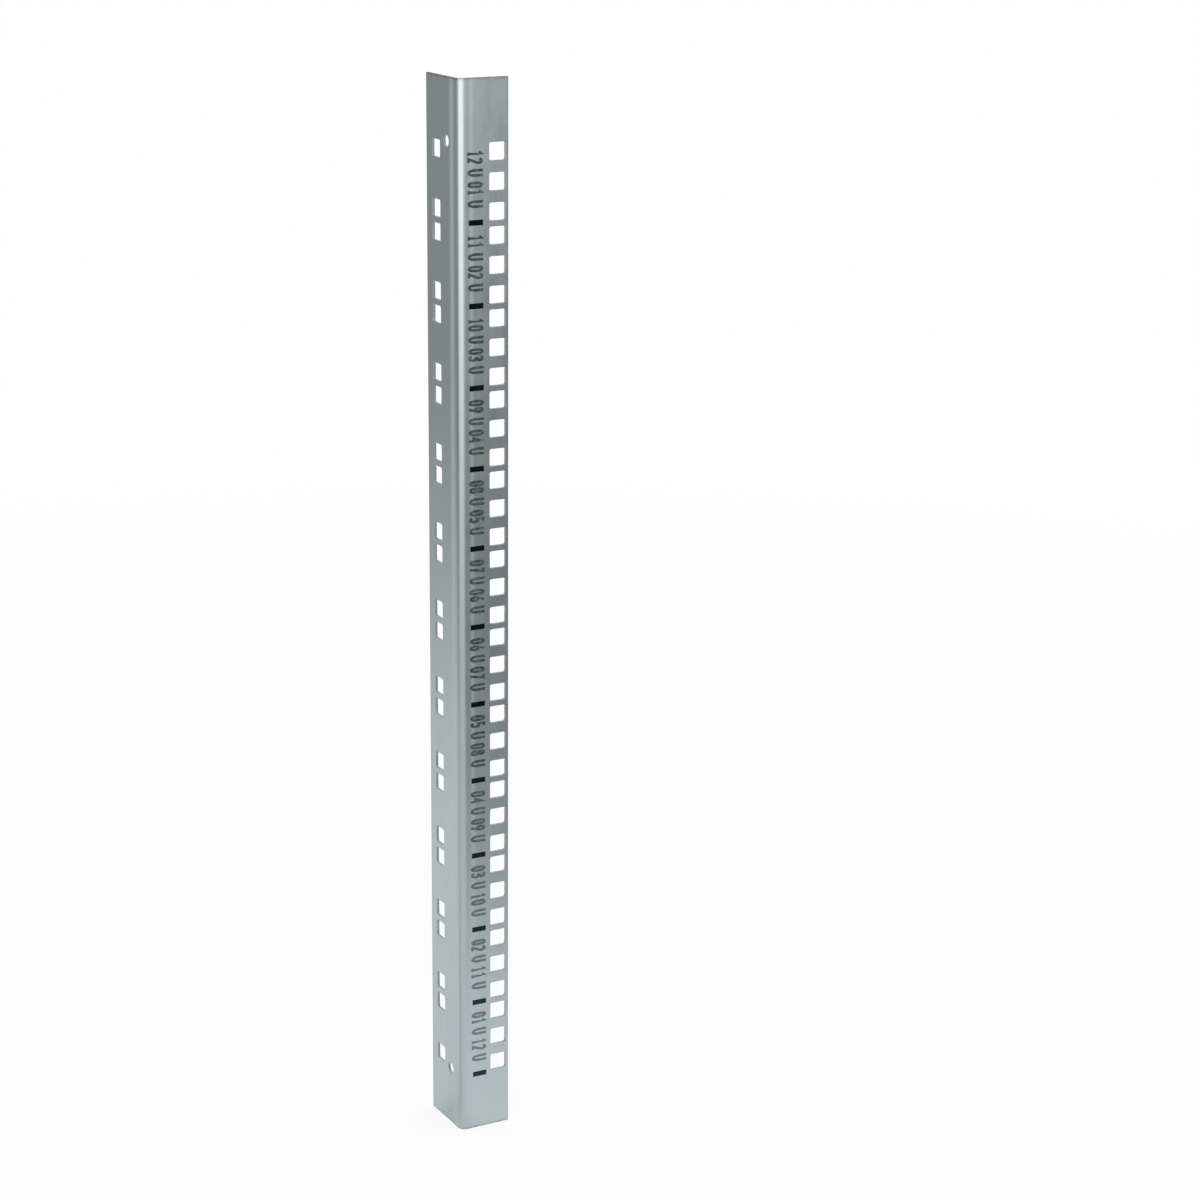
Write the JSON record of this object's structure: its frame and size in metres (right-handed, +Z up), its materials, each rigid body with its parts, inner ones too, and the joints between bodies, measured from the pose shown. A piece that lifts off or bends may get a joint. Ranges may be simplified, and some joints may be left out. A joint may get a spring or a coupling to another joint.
{
  "type": "rack mounting rail",
  "caption": "Upright mounting rail of an equipment rack: a bent steel angle with square cage-nut holes along both flanges and a printed unit scale.",
  "frame": {"origin": "on the floor, under the middle of the rail's box, at the height of its lower cut end", "axes": "+Z up along the rail, -Y out of the front flange's outer face, -X out of the side flange's outer face"},
  "size_m": [0.03, 0.037, 0.598],
  "materials": {
    "zinc_coated_steel": "satin zinc coating"
  },
  "bodies": {
    "root": {"mounting_rail": "zinc_coated_steel"}
  },
  "joints": []
}
